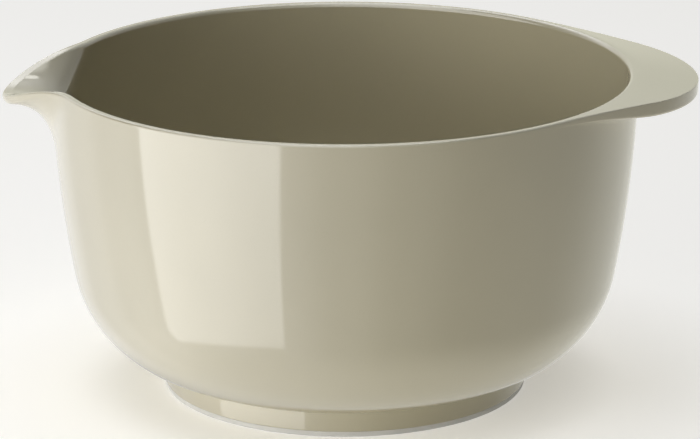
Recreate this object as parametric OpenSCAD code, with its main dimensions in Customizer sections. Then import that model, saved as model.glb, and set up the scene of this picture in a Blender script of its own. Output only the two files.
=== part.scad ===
// Batter bowl: a moulded bowl with a pouring spout, a flat handle lip and a foot,
// standing on a rubber ring that is pressed into the underside of the foot.
// The origin is on the bowl's axis, on the table. +X points to the handle, -X to the spout.

/* [Bowl] */
// Diameter across the outside of the rim
rim_d = 240; // [200:1:280]
// Height from the table to the top of the rim
height = 132.9; // [115:0.1:160]
// Thickness of the wall
wall = 4; // [3.2:0.1:5]
// Thickness of the floor
floor_t = 4; // [3:0.1:6]
// Lean of the wall at the rim, in degrees
rim_lean = 1.1; // [0:0.1:3]
// Radius of the wall's bow, seen from the side
bow_r = 529; // [450:1:800]
// Radius of the turn from the wall into the floor
corner_r = 49; // [40:1:56]
// Gap between the table and the underside of the floor
floor_clear = 8.9; // [7.5:0.1:12]
// Rounding of the rim's outer edge
rim_outer_round = 0.9; // [0.4:0.1:0.9]
// Rounding of the rim's inner edge
rim_inner_round = 1.9; // [0.8:0.1:2]

/* [Foot] */
// Diameter across the outside of the foot, at its bottom
foot_d = 150.6; // [130:0.2:164]
// Width of the foot's ring
foot_w = 7; // [6:0.1:10]
// Lean of the foot's outside, in degrees
foot_draft = 2; // [0:0.5:6]

/* [Non-slip ring] */
// Height of the ring below the foot
tread_h = 2.3; // [1.5:0.1:3]
// How far the ring stays inside the foot's edges
tread_inset = 0.3; // [0.1:0.1:0.8]
// Rounding of the ring's lower edges
tread_round = 0.7; // [0.3:0.1:1.2]
// Width of the rib that holds the ring in the foot's groove
rib_w = 3.2; // [2:0.1:4]
// Height of the rib above the foot's bottom
rib_h = 3.4; // [2.5:0.1:4.2]
// Clearance between the rib and the groove, on each side and above
rib_gap = 0.1; // [0.05:0.05:0.3]

/* [Handle] */
// Reach of the handle beyond the rim
handle_reach = 24.3; // [15:0.1:40]
// Radius of the handle's end, seen from above
handle_tip_r = 68.5; // [40:0.5:85]
// Thickness of the handle
handle_t = 6; // [4.5:0.1:8]
// Thickness of its edge where it leaves the rim
handle_start = 1.9; // [1.8:0.1:3]
// Reach at which the edge has its full thickness
handle_taper = 14; // [8:0.5:20]
// Slope of the handle away from the rim, in degrees
handle_fall = 6.9; // [0:0.1:15]
// Height of the blend between the handle's underside and the wall
handle_blend = 5; // [3:0.1:8]
// Rounding of the handle's lower edge
handle_round = 1.5; // [0.8:0.1:2]
// Rounding of the handle's upper edge
handle_edge_round = 0.4; // [0.3:0.1:0.8]

/* [Spout] */
// Reach of the spout's lip beyond the rim
spout_reach = 20; // [12:0.1:26]
// Angle that the spout takes of the rim, in degrees
spout_span = 46.9; // [36:0.1:70]
// Fall of the rim at the lip
spout_dip = 10; // [4:0.1:16]
// How late the rim falls towards the lip: 1 is evenly with its reach
spout_hold = 1.5; // [1:0.1:2]
// Depth below the rim at which the middle of the spout leaves the wall
spout_depth = 38; // [32:0.5:48]
// How much higher its sides leave the wall, as a share of that depth
spout_vee = 0.85; // [0.5:0.05:0.85]
// Depth below the rim at which the spout's underside turns outward
spout_turn = 19.1; // [14:0.1:26]
// Length over which the lip's underside runs level
lip_run = 10; // [6:0.1:14]
// Depth below the rim at which the channel inside turns outward
channel_turn = 10.8; // [8:0.1:14]
// Length over which the channel runs straight to the lip
channel_run = 12.5; // [9:0.1:15]
// Slope of the channel at the lip, in degrees
channel_slope = 8; // [4:0.5:14]

/* [Hidden] */
$fn = 180;

// Steps of the curved outlines
bow_steps = 10;
corner_steps = 24;
edge_steps = 6;
wall_rows = 10;
row_bunch = 1.5; // how much closer together these rows are towards the rim
round_rows = 4;
handle_cols = 15;
plain_cols = 28;
spout_cols = 40;

stone = "#bdb7a3";
pale_grey = "#c8c6bf";

rim_r = rim_d / 2;
foot_r = foot_d / 2;
rib_r = foot_r - foot_w / 2;

function mix(a, b, t) = a + (b - a) * t;
function unit(v) = v / norm(v);
function polar(r, a) = [r * cos(a), r * sin(a)];
function arc(c, r, from, to, steps) =
    [for (i = [0:steps]) c + polar(r, mix(from, to, i / steps))];
function spread(from, to, count) = [for (i = [0:count - 1]) mix(from, to, i / count)];

// The turned wall is two arcs that touch: the long bow under the rim, then the corner.
bow_c = [rim_r - bow_r * cos(rim_lean), height + bow_r * sin(rim_lean)];
function corner_c(inset, low) =
    let (z = low + corner_r - inset)
    [bow_c.x + sqrt(pow(bow_r - corner_r, 2) - pow(bow_c.y - z, 2)), z];
function bow_angle(inset, z) = -asin((bow_c.y - z) / (bow_r - inset));
function turned_side(inset, low, top) =
    let (
        c = corner_c(inset, low),
        meet = atan2(c.y - bow_c.y, c.x - bow_c.x)
    )
    concat(
        [[0, low]],
        arc(c, corner_r - inset, -90, meet, corner_steps),
        arc(bow_c, bow_r - inset, meet, bow_angle(inset, top), bow_steps)
    );
function underside_z(r) =
    let (c = corner_c(0, floor_clear))
    r < c.x ? floor_clear : c.y - sqrt(pow(corner_r, 2) - pow(r - c.x, 2));

// Point of the plain outer wall at a depth below the top of the rim
function wall_point(depth) =
    [bow_c.x + sqrt(pow(bow_r, 2) - pow(height - depth - bow_c.y, 2)), height - depth];

// Point of the plain inner wall at a depth below the top of the rim
function inside_point(depth) =
    [bow_c.x + sqrt(pow(bow_r - wall, 2) - pow(height - depth - bow_c.y, 2)), height - depth];

// The upper band of the bowl carries the spout and the handle, so its section changes
// with the angle. Rows up its outer face go by their share of the way to the rim's edge.
edge_depth = rim_outer_round;
function depth_at(u) = mix(spout_depth, edge_depth, u);
function share_at(depth) = (spout_depth - depth) / (spout_depth - edge_depth);

// The spout in its middle: the underside leaves the wall, runs level and turns up to the
// rim's edge. The channel inside leaves the wall higher up and slopes up to the rim's top.
lip_at = 0.86; // share of the underside at which it turns up
lip_round = wall - edge_depth - 0.1;
lip_end = [rim_r + spout_reach - lip_round, height - spout_dip - edge_depth - lip_round];
channel_end = [rim_r + spout_reach - wall, height - spout_dip];
function curve(p0, p1, p2, p3, t) =
    pow(1 - t, 3) * p0 + 3 * pow(1 - t, 2) * t * p1 + 3 * (1 - t) * t * t * p2 + t * t * t * p3;
function spout_curve(u) =
    let (b = 90 * max(0, u - lip_at) / (1 - lip_at))
    curve(wall_point(spout_depth), wall_point(spout_turn), lip_end - [lip_run, 0], lip_end,
        min(1, u / lip_at))
    + lip_round * [sin(b), 1 - cos(b)];
function channel_curve(u) =
    curve(inside_point(spout_depth), inside_point(channel_turn),
        channel_end - polar(channel_run, channel_slope), channel_end, u);

// How much of the spout there is at an angle: 1 in its middle, 0 outside it
function spout_share(a) =
    let (t = abs(a - 180) / (spout_span / 2)) t < 1 ? (1 + cos(180 * t)) / 2 : 0;
// How far a row is up the flare, which starts higher where there is less of the spout
function flare_at(u, out) =
    let (start = spout_vee * (1 - out)) max(0, (u - start) / (1 - start));
function flared(plain, shift, out) = plain + [out * shift.x, pow(out, spout_hold) * shift.y];
function outer_point(a, u) =
    let (
        out = spout_share(a),
        w = flare_at(u, out)
    )
    flared(wall_point(depth_at(u)), spout_curve(w) - wall_point(depth_at(w)), out);
function inner_point(a, u) =
    let (
        out = spout_share(a),
        w = flare_at(u, out),
        shift = channel_curve(w) - inside_point(spout_depth * (1 - w))
    )
    flared(inside_point(spout_depth * (1 - u)), shift, out);

// The handle's outline is the rim circle, the circle of its end and the lines that touch both.
tip_x = rim_r + handle_reach - handle_tip_r;
line_angle = acos((rim_r - handle_tip_r) / tip_x);
tip_angle = atan2(handle_tip_r * sin(line_angle), tip_x + handle_tip_r * cos(line_angle));
function handle_out(a) =
    let (b = a > 180 ? 360 - a : a)
    b >= line_angle ? 0 :
    b >= tip_angle ? rim_r / cos(line_angle - b) - rim_r :
    tip_x * cos(b) + sqrt(pow(handle_tip_r, 2) - pow(tip_x * sin(b), 2)) - rim_r;
handle_slope = [1, -tan(handle_fall)];

// Rows of the handle's underside and lower edge: depth below the rim, share of the reach
// and how far the rounding cuts in. Where there is no handle they lie on the plain wall.
blend_share = 0.2;  // share of the handle's reach that the blend takes
level_share = 0.6;  // share of the reach at a row in the middle of the underside
level_sink = 0.03;  // how far that row lies below the lower edge, as a share of the blend
least = 0.4;        // share of the blend and the rounding where the handle leaves the rim
function handle_full(a) = sin(90 * min(1, handle_out(a) / handle_taper));
function handle_edge(a) = mix(handle_start, handle_t, handle_full(a));
function blend_height(a) = handle_blend * mix(least, 1, handle_full(a));
function handle_rows(a) =
    let (
        edge = handle_edge(a),
        blend = blend_height(a),
        turn = handle_round * mix(least, 1, handle_full(a))
    )
    concat(
        [for (b = [0, 25, 50, 70])
            [edge + blend * (1 - sin(b)), (1 - cos(b)) * blend_share, 0]],
        [[edge + blend * level_sink, level_share, 0]],
        [for (b = [0, 30, 60, 90])
            [edge - turn * (1 - cos(b)), 1, turn * handle_full(a) * (1 - sin(b))]]
    );
function handle_point(a, row) =
    outer_point(a, share_at(row[0])) + handle_out(a) * row[1] * handle_slope - [row[2], 0];

// The top edge: a rounding each side of a level strip. The inner one turns as far as the
// wall or channel below it asks, and the handle draws the outer one out to its own edge.
function inner_up(a) = (inner_point(a, 1) - inner_point(a, 0.99)) / 0.01;
function inner_turn(a) = let (up = inner_up(a)) atan2(up.x, -up.y) - 90;
function inner_cut(a) = rim_inner_round * tan(inner_turn(a) / 2);
function rim_edge(a) =
    let (
        ro = mix(rim_outer_round, handle_edge_round, handle_full(a)),
        start = outer_point(a, share_at(ro)) + handle_out(a) * handle_slope,
        inner_c = inner_point(a, 1) + [inner_cut(a), -rim_inner_round]
    )
    concat(
        [for (i = [0:round_rows]) start - [ro, 0] + polar(ro, 90 * i / round_rows)],
        [for (i = [0:round_rows])
            inner_c + polar(rim_inner_round, 90 + inner_turn(a) * i / round_rows)]
    );

columns = concat(
    spread(0, line_angle, handle_cols),
    spread(line_angle, 180 - spout_span / 2, plain_cols),
    spread(180 - spout_span / 2, 180 + spout_span / 2, spout_cols),
    spread(180 + spout_span / 2, 360 - line_angle, plain_cols),
    spread(360 - line_angle, 360, handle_cols)
);

// The band stands in the turned bowl on a tongue inside the wall. The tongue's inner face
// is set in further, by what the band's flat facets stand in from the round wall.
joint_below = 2;     // joint, below the spout
tongue_below = 3;    // where the tongue starts to narrow
tongue_tip = 5;      // the tongue's end, in the middle of the wall
tongue_inset = 0.05; // how far the tongue's outer face lies inside the wall
facet_sag = rim_r * (1 - cos((180 - spout_span / 2 - line_angle) / plain_cols / 2));
tongue_inner_inset = tongue_inset + 2 * facet_sag;
joint_z = height - spout_depth - joint_below;

// Section of the band at an angle, from the tongue up the outside and down the inside
function band_section(a) = let (
    root = share_at(handle_edge(a) + blend_height(a)),
    inner_top = 1 - inner_cut(a) / norm(inner_up(a))
) concat(
    [wall_point(spout_depth + tongue_tip) - [wall / 2, 0]],
    [wall_point(spout_depth + tongue_below) - [tongue_inset, 0]],
    [for (i = [0:wall_rows]) outer_point(a, root * (1 - pow(1 - i / (wall_rows + 1), row_bunch)))],
    [for (row = handle_rows(a)) handle_point(a, row)],
    rim_edge(a),
    [for (i = [1:wall_rows + 1]) inner_point(a, inner_top * (1 - pow(i / (wall_rows + 1), row_bunch)))],
    [wall_point(spout_depth + tongue_below) - [wall - tongue_inner_inset, 0]]
);

module rim_band() {
    sections = [for (a = columns) band_section(a)];
    rows = len(sections[0]);
    cols = len(columns);
    points = [for (i = [0:cols - 1]) for (p = sections[i]) [each polar(p.x, columns[i]), p.y]];
    faces = [for (i = [0:cols - 1]) for (j = [0:rows - 1])
        let (
            here = i * rows,
            next = (i + 1) % cols * rows,
            up = (j + 1) % rows
        )
        each [[here + j, here + up, next + up], [here + j, next + up, next + j]]];
    polyhedron(points, faces);
}

module foot_outline() {
    top_r = foot_r + (underside_z(foot_r) - tread_h) * tan(foot_draft);
    inner_r = foot_r - foot_w;
    polygon([
        [inner_r, tread_h],
        [foot_r, tread_h],
        [top_r, underside_z(top_r)],
        [top_r, underside_z(top_r) + floor_t / 2],
        [inner_r, underside_z(inner_r) + floor_t / 2]
    ]);
}

module groove_outline() {
    width = rib_w + 2 * rib_gap;
    below = 1; // how far the cut starts below the foot
    translate([rib_r - width / 2, tread_h - below]) square([width, rib_h + rib_gap + below]);
}

module turned_bowl() {
    rotate_extrude() difference() {
        union() {
            difference() {
                polygon(concat(turned_side(0, floor_clear, joint_z), [[0, joint_z]]));
                polygon(concat(
                    turned_side(wall, floor_clear + floor_t, joint_z + joint_below),
                    [[0, joint_z + joint_below]]
                ));
            }
            foot_outline();
        }
        groove_outline();
    }
}

module bowl_body() {
    color(stone) union() {
        turned_bowl();
        rim_band();
    }
}

module non_slip_ring() {
    outer_r = foot_r - tread_inset;
    inner_r = foot_r - foot_w + tread_inset;
    root = tread_h / 2; // where the rib starts inside the tread
    color(pale_grey) rotate_extrude() union() {
        polygon(concat(
            [[inner_r, tread_h]],
            arc([inner_r + tread_round, tread_round], tread_round, 180, 270, edge_steps),
            arc([outer_r - tread_round, tread_round], tread_round, 270, 360, edge_steps),
            [[outer_r, tread_h]]
        ));
        translate([rib_r - rib_w / 2, root]) square([rib_w, tread_h - root + rib_h]);
    }
}

bowl_body();
non_slip_ring();
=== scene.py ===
import math

import bmesh
import bpy
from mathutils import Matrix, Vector


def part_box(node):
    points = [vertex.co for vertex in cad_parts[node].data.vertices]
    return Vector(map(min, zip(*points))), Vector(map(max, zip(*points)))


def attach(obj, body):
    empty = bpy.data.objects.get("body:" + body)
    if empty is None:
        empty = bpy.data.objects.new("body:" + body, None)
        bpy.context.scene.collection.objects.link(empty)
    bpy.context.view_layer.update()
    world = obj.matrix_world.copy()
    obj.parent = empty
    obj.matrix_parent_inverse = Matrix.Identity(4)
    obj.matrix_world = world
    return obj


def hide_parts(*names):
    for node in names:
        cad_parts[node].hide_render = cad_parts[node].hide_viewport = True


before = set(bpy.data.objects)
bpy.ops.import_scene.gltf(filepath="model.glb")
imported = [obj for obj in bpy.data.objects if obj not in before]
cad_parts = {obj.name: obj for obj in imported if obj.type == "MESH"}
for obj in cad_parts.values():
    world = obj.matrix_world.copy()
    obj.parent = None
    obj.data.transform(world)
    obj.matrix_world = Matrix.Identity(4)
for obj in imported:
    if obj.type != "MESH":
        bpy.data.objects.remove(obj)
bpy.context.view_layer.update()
bodyLow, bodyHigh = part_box("bowl_body")
ringLow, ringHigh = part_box("non_slip_ring")
print("frame loaded:", ", ".join(sorted(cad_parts)))


# Lengths are in metres and angles in degrees
bowl = {
    "columns": 240,  # steps round the axis
    "wall": 0.004,
    "floor": 0.004,
    "floorClear": 0.0089,  # table to the floor's underside
    "rimLean": 1.1,
    "bowRadius": 0.529,
    "cornerRadius": 0.049,
    "rimOuterRound": 0.0009,
    "rimInnerRound": 0.0019,
    "bowSteps": 14,
    "cornerSteps": 26,
    "roundSteps": 8,
    "floorSteps": 8,
    "undersideSteps": 6,
}
foot = {
    "width": 0.007,
    "draft": 2.0,
    "beyondRing": 0.0003,  # the foot's edges stand out past the ring
    "edgeRound": 0.0005,
    "junctionRound": 0.0003,
    "junctionTurn": 2,  # angle of the corner's curve that the junction takes
    "sideSteps": 4,
    "grooveWidth": 0.0034,
    "grooveDepth": 0.0035,
}
handle = {
    "tipRadius": 0.0685,
    "thickness": 0.006,
    "startThickness": 0.0019,  # of the edge, where it leaves the rim
    "taper": 0.014,  # reach at which the edge has its full thickness
    "fall": 6.9,
    "blend": 0.005,
    "blendTurn": 80,
    "blendShare": 0.2,  # share of the reach that the blend takes
    "lowerRound": 0.0015,
    "upperRound": 0.0004,
    "least": 0.4,  # share of the blend and the rounding where the handle starts
    "blendSteps": 8,
    "underSteps": 5,
    "topSteps": 6,
}
spout = {
    "span": 46.9,
    "dip": 0.01,
    "hold": 1.5,  # how late the rim falls towards the lip
    "depth": 0.038,
    "vee": 0.85,  # how much higher the sides leave the wall, as a share of the depth
    "turn": 0.0191,
    "lipRun": 0.01,
    "lipAt": 0.86,  # share of the underside at which it turns up
    "lipFlat": 0.0001,  # what the lip's roundings leave of the wall
    "channelTurn": 0.0108,
    "channelRun": 0.0125,
    "channelSlope": 8,
    "rows": 24,
    "bunch": 1.5,  # how much closer together the rows are towards the rim
}

lean = math.radians(bowl["rimLean"])
edgeDepth = bowl["rimOuterRound"]
rimRadius = bodyHigh.y + edgeDepth * math.tan(lean)
rimHeight = bodyHigh.z
footBottom = bodyLow.z
handleReach = bodyHigh.x - rimRadius + handle["upperRound"] * math.tan(lean)
spoutReach = -bodyLow.x - rimRadius


# Section helpers: a point of a section is (radius, height)
def polar(radius, degrees):
    turn = math.radians(degrees)
    return Vector((radius * math.cos(turn), radius * math.sin(turn)))


def arcPoints(centre, radius, start, end, steps):
    return [centre + polar(radius, start + (end - start) * i / steps) for i in range(steps + 1)]


def roundCorner(before, corner, after, radius, steps):
    toBefore = (before - corner).normalized()
    toAfter = (after - corner).normalized()
    half = toBefore.angle(toAfter) / 2
    centre = corner + (toBefore + toAfter).normalized() * radius / math.sin(half)
    first = (corner + toBefore * radius / math.tan(half) - centre).normalized()
    last = (corner + toAfter * radius / math.tan(half) - centre).normalized()
    return [centre + radius * first.slerp(last, i / steps) for i in range(steps + 1)]


def between(first, last, steps):
    return [first.lerp(last, i / steps) for i in range(1, steps)]


# The turned wall: a long bow under the rim, then the corner into the floor
bowCentre = Vector((
    rimRadius - bowl["bowRadius"] * math.cos(lean),
    rimHeight + bowl["bowRadius"] * math.sin(lean),
))
cornerAcross = bowl["bowRadius"] - bowl["cornerRadius"]


def cornerCentre(inset, low):
    z = low + bowl["cornerRadius"] - inset
    return Vector((bowCentre.x + math.sqrt(cornerAcross ** 2 - (bowCentre.y - z) ** 2), z))


def turnedSide(inset, low, top, start):
    centre = cornerCentre(inset, low)
    away = centre - bowCentre
    meet = math.degrees(math.atan2(away.y, away.x))
    bowRadius = bowl["bowRadius"] - inset
    end = -math.degrees(math.asin((bowCentre.y - top) / bowRadius))
    corner = arcPoints(centre, bowl["cornerRadius"] - inset, start, meet, bowl["cornerSteps"])
    bow = arcPoints(bowCentre, bowRadius, meet, end, bowl["bowSteps"])
    return corner + bow[1:]


def bowPoint(depth, inset):
    z = rimHeight - depth
    radius = bowl["bowRadius"] - inset
    return Vector((bowCentre.x + math.sqrt(radius ** 2 - (z - bowCentre.y) ** 2), z))


def wallPoint(depth):
    return bowPoint(depth, 0)


def insidePoint(depth):
    return bowPoint(depth, bowl["wall"])


# The upper band: the wall with the spout in it, and the handle drawn out of it
handleSlope = Vector((1, -math.tan(math.radians(handle["fall"]))))
tipCentre = rimRadius + handleReach - handle["tipRadius"]
lineAngle = math.acos((rimRadius - handle["tipRadius"]) / tipCentre)
tipAngle = math.atan2(
    handle["tipRadius"] * math.sin(lineAngle),
    tipCentre + handle["tipRadius"] * math.cos(lineAngle),
)
lipRadius = rimRadius + spoutReach
lipHeight = rimHeight - spout["dip"]
lipRound = bowl["wall"] - edgeDepth - spout["lipFlat"]
lipEnd = Vector((lipRadius - lipRound, lipHeight - edgeDepth - lipRound))
channelEnd = Vector((lipRadius - bowl["wall"], lipHeight))


def cubic(points, share):
    rest = 1 - share
    weights = (rest ** 3, 3 * rest ** 2 * share, 3 * rest * share ** 2, share ** 3)
    return sum((weight * point for weight, point in zip(weights, points)), Vector((0, 0)))


def spoutCurve(share):
    level = lipEnd - Vector((spout["lipRun"], 0))
    points = (wallPoint(spout["depth"]), wallPoint(spout["turn"]), level, lipEnd)
    turn = math.pi / 2 * max(0, share - spout["lipAt"]) / (1 - spout["lipAt"])
    under = cubic(points, min(1, share / spout["lipAt"]))
    return under + lipRound * Vector((math.sin(turn), 1 - math.cos(turn)))


def channelCurve(share):
    start = insidePoint(spout["depth"])
    turn = insidePoint(spout["channelTurn"])
    run = channelEnd - polar(spout["channelRun"], spout["channelSlope"])
    return cubic((start, turn, run, channelEnd), share)


def spoutShare(angle):
    aside = (math.pi - abs(angle)) / math.radians(spout["span"] / 2)
    return (1 + math.cos(math.pi * aside)) / 2 if aside < 1 else 0


def handleOut(angle):
    turn = abs(angle)
    if turn >= lineAngle:
        return 0
    if turn >= tipAngle:
        return rimRadius / math.cos(lineAngle - turn) - rimRadius
    across = tipCentre * math.sin(turn)
    return tipCentre * math.cos(turn) + math.sqrt(handle["tipRadius"] ** 2 - across ** 2) - rimRadius


# Outside, the share runs from the spout's depth up to the rim's rounding, and inside to the top
def depthAt(share):
    return spout["depth"] + (edgeDepth - spout["depth"]) * share


def shareAt(depth):
    return (spout["depth"] - depth) / (spout["depth"] - edgeDepth)


def insideDepthAt(share):
    return spout["depth"] * (1 - share)


def flareShare(share, out):
    start = spout["vee"] * (1 - out)
    return max(0, (share - start) / (1 - start))


def flared(plain, shift, out):
    return plain + Vector((out * shift.x, out ** spout["hold"] * shift.y))


def outerPoint(angle, share):
    out = spoutShare(angle)
    flare = flareShare(share, out)
    shift = spoutCurve(flare) - wallPoint(depthAt(flare))
    return flared(wallPoint(depthAt(share)), shift, out)


def innerPoint(angle, share):
    out = spoutShare(angle)
    flare = flareShare(share, out)
    shift = channelCurve(flare) - insidePoint(insideDepthAt(flare))
    return flared(insidePoint(insideDepthAt(share)), shift, out)


def innerUp(angle):
    step = 0.01
    return (innerPoint(angle, 1) - innerPoint(angle, 1 - step)) / step


def innerTurn(angle):
    up = innerUp(angle)
    return math.atan2(up.x, -up.y) - math.pi / 2


def innerCut(angle):
    return bowl["rimInnerRound"] * math.tan(innerTurn(angle) / 2)


def handleFull(angle):
    return math.sin(math.pi / 2 * min(1, handleOut(angle) / handle["taper"]))


def handleScale(angle):
    return handle["least"] + (1 - handle["least"]) * handleFull(angle)


def handleEdge(angle):
    start = handle["startThickness"]
    return start + (handle["thickness"] - start) * handleFull(angle)


def handleBlend(angle):
    return handle["blend"] * handleScale(angle)


def handleRoot(angle):
    return handleEdge(angle) + handleBlend(angle)


# Each row is its depth on the wall, its share of the reach and how far its edge is rounded off
def handleUnderside(angle):
    out = handleOut(angle)
    edge = handleEdge(angle)
    lowerRound = handle["lowerRound"] * handleScale(angle)
    rows = []
    for i in range(handle["blendSteps"] + 1):
        turn = math.radians(handle["blendTurn"] * i / handle["blendSteps"])
        depth = edge + handleBlend(angle) * (1 - math.sin(turn))
        rows.append((depth, (1 - math.cos(turn)) * handle["blendShare"], 0))
    depthHere, shareHere = rows[-1][:2]
    for i in range(1, handle["underSteps"] + 1):
        part = i / (handle["underSteps"] + 1)
        rows.append((depthHere + (edge - depthHere) * part, shareHere + (1 - shareHere) * part, 0))
    for i in range(bowl["roundSteps"] + 1):
        turn = math.pi / 2 * i / bowl["roundSteps"]
        cut = lowerRound * handleFull(angle) * (1 - math.sin(turn))
        rows.append((edge - lowerRound * (1 - math.cos(turn)), 1, cut))
    return [
        outerPoint(angle, shareAt(depth)) + handleSlope * out * share - Vector((cut, 0))
        for depth, share, cut in rows
    ]


def rimEdge(angle):
    plainRound = bowl["rimOuterRound"]
    innerRound = bowl["rimInnerRound"]
    steps = bowl["roundSteps"]
    outerRound = plainRound + (handle["upperRound"] - plainRound) * handleFull(angle)
    start = outerPoint(angle, shareAt(outerRound)) + handleSlope * handleOut(angle)
    outer = arcPoints(start - Vector((outerRound, 0)), outerRound, 0, 90, steps)
    centre = innerPoint(angle, 1) + Vector((innerCut(angle), -innerRound))
    inner = arcPoints(centre, innerRound, 90, 90 + math.degrees(innerTurn(angle)), steps)
    return outer + between(outer[-1], inner[0], handle["topSteps"]) + inner


def bandSection(angle):
    rows = spout["rows"]
    bunch = spout["bunch"]
    rootShare = shareAt(handleRoot(angle))
    innerTop = 1 - innerCut(angle) / innerUp(angle).length
    outer = [outerPoint(angle, rootShare * (1 - (1 - i / rows) ** bunch)) for i in range(rows)]
    inner = [innerPoint(angle, innerTop * (1 - (i / rows) ** bunch)) for i in range(1, rows + 1)]
    return outer + handleUnderside(angle) + rimEdge(angle) + inner


# The lower part is the same all round: underside, foot with its groove, and the corner
def lowerOutside():
    footRadius = ringHigh.x + foot["beyondRing"]
    footInner = footRadius - foot["width"]
    grooveMiddle = (footRadius + footInner) / 2
    grooveSide = Vector((foot["grooveWidth"] / 2, 0))
    low = bowl["floorClear"]
    centre = cornerCentre(0, low)
    slope = math.tan(math.radians(foot["draft"]))
    topRadius = footRadius + (low - footBottom) * slope
    topAngle = -math.degrees(math.acos((topRadius - centre.x) / bowl["cornerRadius"]))
    junction = centre + polar(bowl["cornerRadius"], topAngle)
    onCorner = centre + polar(bowl["cornerRadius"], topAngle + 2 * foot["junctionTurn"])
    side = turnedSide(0, low, rimHeight - spout["depth"], topAngle + foot["junctionTurn"])
    middle = Vector((0, low))
    inside = Vector((footInner, low))
    innerFoot = Vector((footInner, footBottom))
    outerFoot = Vector((footRadius, footBottom))
    grooveLow = Vector((grooveMiddle, footBottom))
    grooveHigh = grooveLow + Vector((0, foot["grooveDepth"]))
    steps = bowl["roundSteps"]
    points = [middle] + between(middle, inside, bowl["undersideSteps"])
    points += roundCorner(middle, inside, innerFoot, foot["junctionRound"], steps)
    points += roundCorner(inside, innerFoot, outerFoot, foot["edgeRound"], steps)
    points += [grooveLow - grooveSide, grooveHigh - grooveSide]
    points += [grooveHigh + grooveSide, grooveLow + grooveSide]
    points += roundCorner(innerFoot, outerFoot, junction, foot["edgeRound"], steps)
    points += between(outerFoot, junction, foot["sideSteps"])[1:]
    points += roundCorner(outerFoot, junction, onCorner, foot["junctionRound"], steps)
    return points + side[:-1]


def lowerInside():
    low = bowl["floorClear"] + bowl["floor"]
    side = turnedSide(bowl["wall"], low, rimHeight - spout["depth"], -90)
    middle = Vector((0, low))
    return list(reversed([middle] + between(middle, side[0], bowl["floorSteps"]) + side[:-1]))


def newPiece(name, mesh, node):
    piece = bpy.data.objects.new(name, mesh)
    bpy.context.scene.collection.objects.link(piece)
    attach(piece, "root")
    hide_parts(node)
    return piece


# Turns a section round the axis, and keeps each vertex's place in the section
def spinSection(points, columns):
    bm = bmesh.new()
    rowLayer = bm.verts.layers.float.new("row")
    chain = [bm.verts.new((p.x, 0, p.y)) for p in points]
    for i, vert in enumerate(chain):
        vert[rowLayer] = i
    edges = [bm.edges.new(pair) for pair in zip(chain, chain[1:])]
    bmesh.ops.spin(
        bm, geom=chain + edges, cent=(0, 0, 0), axis=(0, 0, 1),
        angle=2 * math.pi, steps=columns, use_merge=True,
    )
    bmesh.ops.remove_doubles(bm, verts=bm.verts, dist=1e-7)
    return bm, rowLayer


def finishMesh(bm, name):
    bmesh.ops.recalc_face_normals(bm, faces=bm.faces)
    mesh = bpy.data.meshes.new(name)
    bm.to_mesh(mesh)
    bm.free()
    mesh.shade_smooth()
    return mesh


def buildBowl():
    outside = lowerOutside()
    inside = lowerInside()
    plainAngle = math.pi / 2  # neither spout nor handle here
    points = outside + bandSection(plainAngle) + inside
    bm, rowLayer = spinSection(points, bowl["columns"])
    first = len(outside)
    last = len(points) - len(inside)
    bands = {}  # one section for each column
    for vert in bm.verts:
        row = round(vert[rowLayer])
        if first <= row < last:
            angle = round(math.atan2(vert.co.y, vert.co.x), 5)
            if angle not in bands:
                bands[angle] = bandSection(angle)
            radius, z = bands[angle][row - first]
            vert.co = (radius * math.cos(angle), radius * math.sin(angle), z)
    print("bowl rows:", len(points), "verts:", len(bm.verts), "faces:", len(bm.faces))
    return newPiece("moulded_bowl", finishMesh(bm, "moulded_bowl"), "bowl_body")


ring = {
    "columns": 240,
    "ribWidth": 0.0032,
    "lowerRound": 0.0007,
    "upperRound": 0.0002,
    "steps": 5,
}


def buildRing():
    outer = ringHigh.x
    inner = outer - foot["width"] + 2 * foot["beyondRing"]
    middle = (outer + inner) / 2
    half = ring["ribWidth"] / 2
    corners = [
        (Vector((inner, 0)), ring["lowerRound"]),
        (Vector((outer, 0)), ring["lowerRound"]),
        (Vector((outer, footBottom)), ring["upperRound"]),
        (Vector((middle + half, footBottom)), ring["upperRound"]),
        (Vector((middle + half, ringHigh.z)), ring["upperRound"]),
        (Vector((middle - half, ringHigh.z)), ring["upperRound"]),
        (Vector((middle - half, footBottom)), ring["upperRound"]),
        (Vector((inner, footBottom)), ring["upperRound"]),
    ]
    points = []
    for i, (corner, radius) in enumerate(corners):
        before = corners[i - 1][0]
        after = corners[(i + 1) % len(corners)][0]
        points += roundCorner(before, corner, after, radius, ring["steps"])
    points.append(points[0])
    bm = spinSection(points, ring["columns"])[0]
    print("ring verts:", len(bm.verts), "faces:", len(bm.faces))
    mesh = finishMesh(bm, "non_slip_rubber")
    return newPiece("non_slip_rubber", mesh, "non_slip_ring")


bowlPiece = buildBowl()
ringPiece = buildRing()


# Node helpers: an input is a value or the output of another node
def addNode(tree, kind, inputs=None, **settings):
    node = tree.nodes.new(kind)
    for name, value in settings.items():
        setattr(node, name, value)
    for key, value in (inputs or {}).items():
        if isinstance(value, bpy.types.NodeSocket):
            tree.links.new(value, node.inputs[key])
        else:
            node.inputs[key].default_value = value
    return node


def remap(tree, value, fromRange, toRange=(0, 1), interpolation="SMOOTHSTEP"):
    node = addNode(tree, "ShaderNodeMapRange", {
        "Value": value,
        "From Min": fromRange[0], "From Max": fromRange[1],
        "To Min": toRange[0], "To Max": toRange[1],
    }, interpolation_type=interpolation)
    return node.outputs["Result"]


def noise(tree, scale, detail):
    place = addNode(tree, "ShaderNodeTexCoord").outputs["Object"]
    node = addNode(tree, "ShaderNodeTexNoise", {"Vector": place, "Scale": scale, "Detail": detail})
    return node.outputs["Fac"]


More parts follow.
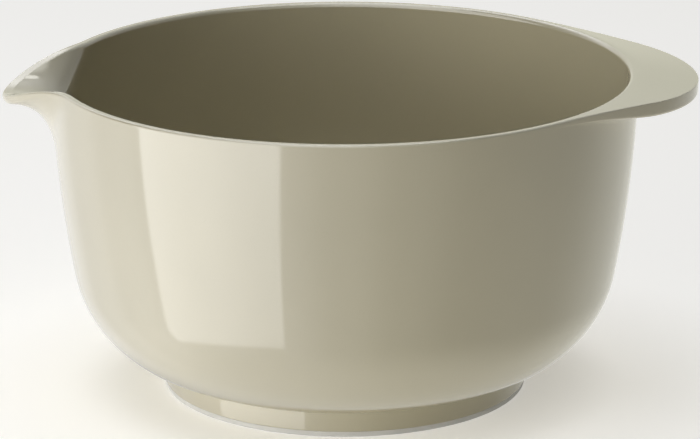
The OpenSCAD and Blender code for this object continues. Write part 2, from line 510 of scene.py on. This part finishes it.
def mixColours(tree, share, first, last, kind="MIX"):
    inputs = {0: share, 6: first, 7: last}  # the sockets for colours
    return addNode(tree, "ShaderNodeMix", inputs, data_type="RGBA", blend_type=kind).outputs[2]


def mixValues(tree, share, first, last):
    inputs = {0: share, 2: first, 3: last}  # the sockets for values
    return addNode(tree, "ShaderNodeMix", inputs).outputs[0]


def calculate(tree, operation, *values):
    return addNode(tree, "ShaderNodeMath", dict(enumerate(values)), operation=operation).outputs[0]


def mixShaders(tree, share, first, last):
    inputs = {0: share, 1: first.outputs[0], 2: last.outputs[0]}
    return addNode(tree, "ShaderNodeMixShader", inputs)


def tint(colour, level=1):
    return (*(channel * level for channel in colour), 1)


def grey(level):
    return (level, level, level, 1)


def newMaterial(name):
    material = bpy.data.materials.new(name)
    material.use_nodes = True
    return material, material.node_tree, material.node_tree.nodes["Principled BSDF"]


# Glossy moulded melamine: stone-grey pigment, faintly clouded and speckled
melamine = {
    "colour": (0.495, 0.457, 0.334),
    "cloudScale": 11,
    "cloudRange": (0.35, 0.65),  # of the noise, between the two shades
    "cloud": 0.025,  # how far the clouding goes either side of the colour
    "speckScale": 1700,
    "speckRange": (0.55, 0.75),
    "speck": 0.02,
    "gloss": (0.06, 0.085),  # least and most roughness
    "glossScale": 35,
    "glossRange": (0.3, 0.7),
    "ior": 1.6,
    "peelScale": 170,
    "peelDepth": 0.0000015,
}


def melamineMaterial():
    material, tree, shader = newMaterial("melamine")
    darker = tint(melamine["colour"], 1 - melamine["cloud"])
    lighter = tint(melamine["colour"], 1 + melamine["cloud"])
    clouds = remap(tree, noise(tree, melamine["cloudScale"], 3), melamine["cloudRange"])
    clouded = mixColours(tree, clouds, darker, lighter)
    specks = remap(tree, noise(tree, melamine["speckScale"], 1), melamine["speckRange"])
    speckled = mixColours(tree, specks, clouded, grey(1 - melamine["speck"]), "MULTIPLY")
    tree.links.new(speckled, shader.inputs["Base Color"])
    glossNoise = noise(tree, melamine["glossScale"], 4)
    roughness = remap(tree, glossNoise, melamine["glossRange"], melamine["gloss"])
    tree.links.new(roughness, shader.inputs["Roughness"])
    shader.inputs["IOR"].default_value = melamine["ior"]
    peel = noise(tree, melamine["peelScale"], 1)
    bump = addNode(tree, "ShaderNodeBump", {"Height": peel, "Distance": melamine["peelDepth"]})
    tree.links.new(bump.outputs["Normal"], shader.inputs["Normal"])
    return material


# Pale grey rubber, slightly mottled and matt
rubber = {
    "colour": (0.64, 0.638, 0.625),
    "mottleScale": 60,
    "mottleRange": (0.35, 0.65),
    "mottle": 0.05,
    "matt": (0.5, 0.65),  # least and most roughness
    "grainScale": 900,
    "grainRange": (0.3, 0.7),
    "grainDepth": 0.00003,
}


def rubberMaterial():
    material, tree, shader = newMaterial("rubber")
    darker = tint(rubber["colour"], 1 - rubber["mottle"])
    lighter = tint(rubber["colour"], 1 + rubber["mottle"])
    mottling = remap(tree, noise(tree, rubber["mottleScale"], 4), rubber["mottleRange"])
    tree.links.new(mixColours(tree, mottling, darker, lighter), shader.inputs["Base Color"])
    grain = noise(tree, rubber["grainScale"], 2)
    roughness = remap(tree, grain, rubber["grainRange"], rubber["matt"])
    tree.links.new(roughness, shader.inputs["Roughness"])
    bump = addNode(tree, "ShaderNodeBump", {"Height": grain, "Distance": rubber["grainDepth"]})
    tree.links.new(bump.outputs["Normal"], shader.inputs["Normal"])
    return material


bowlPiece.data.materials.append(melamineMaterial())
ringPiece.data.materials.append(rubberMaterial())
print("finishes made")


# Camera at the photograph's viewing angle: the frame is 700 x 439
view = {
    "frameWidth": 700,
    "focalPixels": 3666,
    "sensor": 36,
    "place": (0, -1.45195, 0.49947),
    "pitch": 16.537,
    "yaw": -0.0859,
    "farthest": 100,
}
scene = bpy.context.scene
scene.view_settings.view_transform = "Standard"
cameraData = bpy.data.cameras.new("camera")
cameraData.sensor_width = view["sensor"]
cameraData.lens = view["sensor"] * view["focalPixels"] / view["frameWidth"]
cameraData.clip_end = view["farthest"]
camera = bpy.data.objects.new("camera", cameraData)
camera.location = view["place"]
camera.rotation_euler = (math.radians(90 - view["pitch"]), 0, math.radians(view["yaw"]))
scene.collection.objects.link(camera)
scene.camera = camera

# Pale floor, which glows a little, is whiter to the camera and has a painted shade by the foot.
# The gloss sees the surround through it, dimmed in that painted shade.
floorLook = {
    "size": 30,
    "colour": (0.8, 0.8, 0.8),
    "glow": 0.44,
    "glowTint": (1, 0.98, 0.93),
    "cameraGlow": 0.12,
    "shade": (0.08, 0.12),  # the radii between which the painted shade by the foot clears
    "shadeGlow": 0.27,
    "shadeMirrored": 0.72,  # share of the surround that is mirrored in the painted shade
}


def floorMaterial():
    material, tree, shader = newMaterial("floor_paper")
    shader.inputs["Base Color"].default_value = tint(floorLook["colour"])
    shader.inputs["Roughness"].default_value = 1
    shader.inputs["Specular IOR Level"].default_value = 0
    shader.inputs["Emission Color"].default_value = tint(floorLook["glowTint"])
    ray = addNode(tree, "ShaderNodeLightPath")
    place = addNode(tree, "ShaderNodeTexCoord").outputs["Object"]
    fromAxis = addNode(tree, "ShaderNodeVectorMath", {0: place}, operation="LENGTH")
    # painted shade by the foot: the glow and the mirrored surround are lowered within these radii
    clear = remap(tree, fromAxis.outputs["Value"], floorLook["shade"])
    glow = mixValues(tree, clear, floorLook["shadeGlow"], floorLook["glow"])
    toCamera = ray.outputs["Is Camera Ray"]
    glowSeen = calculate(tree, "MULTIPLY_ADD", toCamera, floorLook["cameraGlow"], glow)
    tree.links.new(glowSeen, shader.inputs["Emission Strength"])
    dimmed = mixColours(tree, clear, grey(floorLook["shadeMirrored"]), grey(1))
    see = addNode(tree, "ShaderNodeBsdfTransparent", {"Color": dimmed})
    both = mixShaders(tree, ray.outputs["Is Glossy Ray"], shader, see)
    tree.links.new(both.outputs[0], tree.nodes["Material Output"].inputs["Surface"])
    return material


def buildFloor():
    mesh = bpy.data.meshes.new("studio_floor")
    bm = bmesh.new()
    bmesh.ops.create_grid(bm, x_segments=1, y_segments=1, size=floorLook["size"])
    bm.to_mesh(mesh)
    bm.free()
    mesh.materials.append(floorMaterial())
    floor = bpy.data.objects.new("studio_floor", mesh)
    floor.location.z = ringLow.z
    scene.collection.objects.link(floor)


buildFloor()

# What the gloss mirrors, by direction. Angles are round from the camera, left is minus,
# or up from the table, and levels are shares of the strength.
mirrored = {
    "strength": 6.5,
    "colours": ((1.0, 1.0, 1.0), (1.0, 0.995, 0.92)),  # on the left and on the right
    "turnOver": (-0.4, 0.4),  # how far across the left side gives way to the right
    "fill": 0.02,  # strength of the even light that isn't mirrored
    "around": (
        (-180, 0.13), (-140, 0.24), (-115, 0.37), (-92, 0.49), (-60, 0.47), (-30, 0.35),
        (0, 0.19), (25, 0.1), (50, 0.057), (90, 0.095), (130, 0.16), (180, 0.14),
    ),
    "below": (0.29, 0.16),  # on the left and on the right
    "belowRise": (-35, -75),
    "behind": (0.197, 0.195, 0.17),
    "behindHigher": (0.26, 0.257, 0.23),
    "behindRise": (12, 22),
    "behindAway": (0.5, 0.9),  # how far away from the camera it starts and is full
    "behindTable": (-0.05, 0.08),  # how far up
    "overhead": (
        (-180, 0.8), (-150, 0.65), (-122, 0.2), (-95, 0.03), (-80, 0.5), (-30, 0.65),
        (0, 0.55), (20, 0.3), (60, 0.13), (105, 0.2), (145, 0.3), (168, 0.45), (180, 0.8),
    ),
    "overheadRise": (-4, 10),
    "overheadLeftRise": (22, 44),  # behind the bowl, on the left
    "overheadRightRise": (42, 64),
    "overheadParts": (-0.12, -0.03),  # how far across its left gives way to its right
    "topRise": (62, 72),
    "topLevel": 0.87,
}
panel = {
    "level": 0.48,
    "lowLevel": 0.6,  # share of the level at its lower edge
    "left": -86.5,
    "right": -24.5,
    "slant": 3.5,  # how far the right side leans in at the foot
    "top": -18,
    "low": -40,
    "edge": 0.8,
    "lowEdge": 0.03,
}
dimRight = {
    "level": 0.75,
    "across": (0.5, 0.8),  # where it starts and is full, across and up
    "starts": (0, 0.1),
    "ends": (0.5, 0.78),
}
spot = {
    "level": 0.65,
    "around": 162.5,
    "rise": 59.5,
    "radius": 3.3,
    "edge": 1,
}


def aroundShare(degrees):
    return (degrees + 180) / 360


def upShare(degrees):
    return math.sin(math.radians(degrees))


def riseRange(name):
    return [upShare(degrees) for degrees in mirrored[name]]


def towards(around, rise):
    turn = math.radians(around)
    tilt = math.radians(rise)
    return Vector((math.sin(turn) * math.cos(tilt), -math.cos(turn) * math.cos(tilt), math.sin(tilt)))


def levelsRound(tree, share, levels):
    ramp = addNode(tree, "ShaderNodeValToRGB", {"Fac": share})
    stops = ramp.color_ramp.elements
    ramp.color_ramp.interpolation = "EASE"
    while len(stops) < len(levels):
        stops.new(0.5)
    for stop, (degrees, level) in zip(stops, levels):
        stop.position = aroundShare(degrees)
        stop.color = grey(level)
    return ramp.outputs["Color"]


def panelShare(tree, share, up):
    edge = panel["edge"]
    lowEdge = panel["lowEdge"]
    top = upShare(panel["top"])
    low = upShare(panel["low"])
    leftRange = (aroundShare(panel["left"] - edge), aroundShare(panel["left"] + edge))
    rightRange = (aroundShare(panel["right"] + edge), aroundShare(panel["right"] - edge))
    slant = remap(tree, up, (low, top), (panel["slant"] / 360, 0), "LINEAR")
    inside = remap(tree, share, leftRange)
    for side in (
        remap(tree, calculate(tree, "ADD", share, slant), rightRange),
        remap(tree, up, (low - lowEdge, low + lowEdge)),
        remap(tree, up, (low, top), (panel["lowLevel"], 1), "LINEAR"),
    ):
        inside = calculate(tree, "MULTIPLY", inside, side)
    return inside


def dimLevel(tree, across, up):
    level = mixValues(tree, remap(tree, up, dimRight["ends"]), dimRight["level"], 1.0)
    level = mixValues(tree, remap(tree, up, dimRight["starts"]), 1.0, level)
    return mixValues(tree, remap(tree, across, dimRight["across"]), 1.0, level)


def spotShare(tree, direction):
    ends = {0: direction, 1: towards(spot["around"], spot["rise"])}
    towardsSpot = addNode(tree, "ShaderNodeVectorMath", ends, operation="DOT_PRODUCT")
    radii = (spot["radius"] + spot["edge"], spot["radius"] - spot["edge"])
    return remap(tree, towardsSpot.outputs["Value"], [math.cos(math.radians(r)) for r in radii])


def mirroredSurround(tree):
    direction = addNode(tree, "ShaderNodeTexCoord").outputs["Generated"]
    quarterTurn = {"Vector": direction, "Rotation": (0, 0, math.pi / 2)}
    turned = addNode(tree, "ShaderNodeMapping", quarterTurn).outputs[0]
    radial = addNode(tree, "ShaderNodeTexGradient", {"Vector": turned}, gradient_type="RADIAL")
    share = radial.outputs["Fac"]
    across, away, up = addNode(tree, "ShaderNodeSeparateXYZ", {0: direction}).outputs
    toRight = remap(tree, across, mirrored["turnOver"])

    # The sides with the panel, and the table below them
    below = mixColours(tree, toRight, *(grey(level) for level in mirrored["below"]))
    steep = remap(tree, up, riseRange("belowRise"))
    sides = mixColours(tree, steep, levelsRound(tree, share, mirrored["around"]), below)
    lit = mixColours(tree, panelShare(tree, share, up), sides, grey(panel["level"]), "ADD")

    # What is behind the bowl
    backShare = remap(tree, away, mirrored["behindAway"])
    aboveTable = remap(tree, up, mirrored["behindTable"])
    higher = remap(tree, up, riseRange("behindRise"))
    behind = mixColours(tree, higher, tint(mirrored["behind"]), tint(mirrored["behindHigher"]))
    level = mixColours(tree, calculate(tree, "MULTIPLY", backShare, aboveTable), lit, behind)

    # What is overhead, which comes down less far behind the bowl
    dome = levelsRound(tree, share, mirrored["overhead"])
    frontRise = remap(tree, up, riseRange("overheadRise"))
    leftRise = remap(tree, up, riseRange("overheadLeftRise"))
    rightRise = remap(tree, up, riseRange("overheadRightRise"))
    parts = remap(tree, across, mirrored["overheadParts"])
    backRise = mixValues(tree, parts, leftRise, rightRise)
    whole = mixColours(tree, mixValues(tree, backShare, frontRise, backRise), level, dome)
    atTop = remap(tree, up, riseRange("topRise"))
    whole = mixColours(tree, atTop, whole, grey(mirrored["topLevel"]))

    whole = mixColours(tree, 1, whole, dimLevel(tree, across, up), "MULTIPLY")
    whole = mixColours(tree, spotShare(tree, direction), whole, grey(spot["level"]), "ADD")
    colour = mixColours(tree, toRight, *(tint(side) for side in mirrored["colours"]))
    return mixColours(tree, 1, whole, colour, "MULTIPLY")


def background(tree, colour, strength):
    return addNode(tree, "ShaderNodeBackground", {"Color": colour, "Strength": strength})


# The camera sees plain white, the gloss the surround, and all else an even fill
world = bpy.data.worlds.new("studio")
world.use_nodes = True
world.cycles.sampling_method = "NONE"
worldTree = world.node_tree
worldTree.nodes.clear()
worldRay = addNode(worldTree, "ShaderNodeLightPath").outputs
evenFill = background(worldTree, grey(1), mirrored["fill"])
surround = background(worldTree, mirroredSurround(worldTree), mirrored["strength"])
plainWhite = background(worldTree, grey(1), 1)
unseen = mixShaders(worldTree, worldRay["Is Glossy Ray"], evenFill, surround)
seen = mixShaders(worldTree, worldRay["Is Camera Ray"], unseen, plainWhite)
addNode(worldTree, "ShaderNodeOutputWorld", {"Surface": seen.outputs[0]})
scene.world = world

# Softboxes, at angles round from the camera and up. The gloss mirrors the surround in
# their place.
warm = (1.0, 0.978, 0.92)
cool = (0.97, 1.0, 1.06)
softboxDistance = 2.0
softboxes = {
    "key": {"around": -48, "rise": 12, "width": 3.2, "height": 1.1, "level": 1.7, "colour": warm},
    "strip": {"around": -60, "rise": 10, "width": 2.4, "height": 0.4, "level": 2.5, "colour": warm},
    "top": {"around": -133, "rise": 82, "width": 1.6, "height": 1.6, "level": 1.8, "colour": cool},
}


def addSoftbox(name, around, rise, width, height, level, colour):
    data = bpy.data.lights.new(name, "AREA")
    data.shape = "RECTANGLE"
    data.size = width
    data.size_y = height
    data.energy = level * math.pi * width * height
    data.color = colour
    lamp = bpy.data.objects.new(name, data)
    lamp.location = towards(around, rise) * softboxDistance
    lamp.rotation_euler = (-lamp.location).to_track_quat("-Z", "Y").to_euler()
    lamp.visible_camera = False
    lamp.visible_glossy = False
    scene.collection.objects.link(lamp)


for name, values in softboxes.items():
    addSoftbox(name, **values)
print("studio set")
